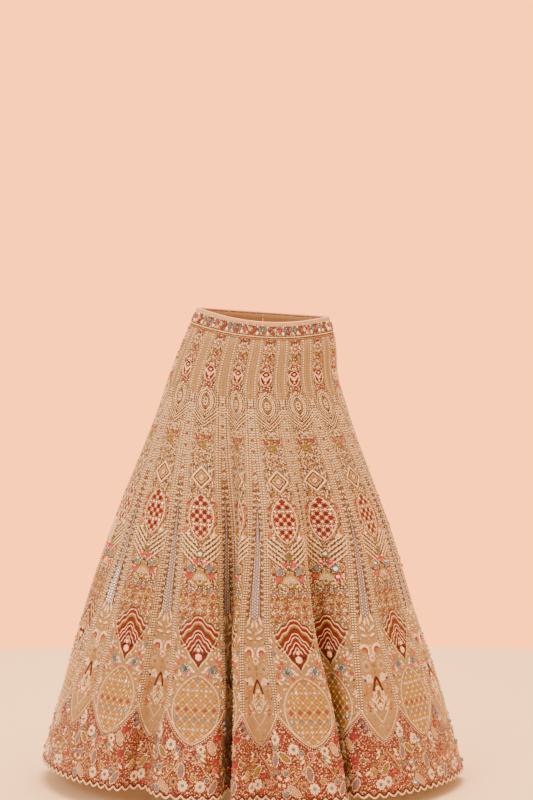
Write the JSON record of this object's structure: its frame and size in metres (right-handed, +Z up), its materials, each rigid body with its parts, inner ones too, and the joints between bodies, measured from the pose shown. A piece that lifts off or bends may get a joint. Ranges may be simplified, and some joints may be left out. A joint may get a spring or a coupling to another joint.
{
  "type": "lehenga skirt",
  "caption": "Floor-length flared skirt of alternating wide and narrow gores with a waistband and a red scalloped border, hollow as worn.",
  "frame": {"origin": "centre of the waist opening, level with the mean of the waistband's top edge, where the wearer holds the skirt up", "axes": "+Z up, -Y towards the wearer's front, +X towards the viewer's right when the front is seen"},
  "size_m": [0.9784, 0.9287, 1.0694],
  "materials": {
    "embroidered_net": "tan net worked all over with cream and gold thread, beads and stones",
    "border_net": "rust red net covered with many-coloured embroidery",
    "waistband_cloth": "tan net with a lattice of faceted stones",
    "piping_silk": "rolled peach silk"
  },
  "bodies": {
    "root": {"waistband": "waistband_cloth", "waist_piping": "piping_silk", "wide_kali_01": "embroidered_net", "narrow_kali_01": "embroidered_net", "hem_border_01": "border_net", "wide_kali_02": "embroidered_net", "narrow_kali_02": "embroidered_net", "hem_border_02": "border_net", "wide_kali_03": "embroidered_net", "narrow_kali_03": "embroidered_net", "hem_border_03": "border_net", "wide_kali_04": "embroidered_net", "narrow_kali_04": "embroidered_net", "hem_border_04": "border_net", "wide_kali_05": "embroidered_net", "narrow_kali_05": "embroidered_net", "hem_border_05": "border_net", "wide_kali_06": "embroidered_net", "narrow_kali_06": "embroidered_net", "hem_border_06": "border_net", "wide_kali_07": "embroidered_net", "narrow_kali_07": "embroidered_net", "hem_border_07": "border_net", "wide_kali_08": "embroidered_net", "narrow_kali_08": "embroidered_net", "hem_border_08": "border_net", "wide_kali_09": "embroidered_net", "narrow_kali_09": "embroidered_net", "hem_border_09": "border_net", "wide_kali_10": "embroidered_net", "narrow_kali_10": "embroidered_net", "hem_border_10": "border_net", "wide_kali_11": "embroidered_net", "narrow_kali_11": "embroidered_net", "hem_border_11": "border_net", "wide_kali_12": "embroidered_net", "narrow_kali_12": "embroidered_net", "hem_border_12": "border_net", "wide_kali_13": "embroidered_net", "narrow_kali_13": "embroidered_net", "hem_border_13": "border_net", "wide_kali_14": "embroidered_net", "narrow_kali_14": "embroidered_net", "hem_border_14": "border_net", "wide_kali_15": "embroidered_net", "narrow_kali_15": "embroidered_net", "hem_border_15": "border_net", "wide_kali_16": "embroidered_net", "narrow_kali_16": "embroidered_net", "hem_border_16": "border_net"}
  },
  "joints": []
}
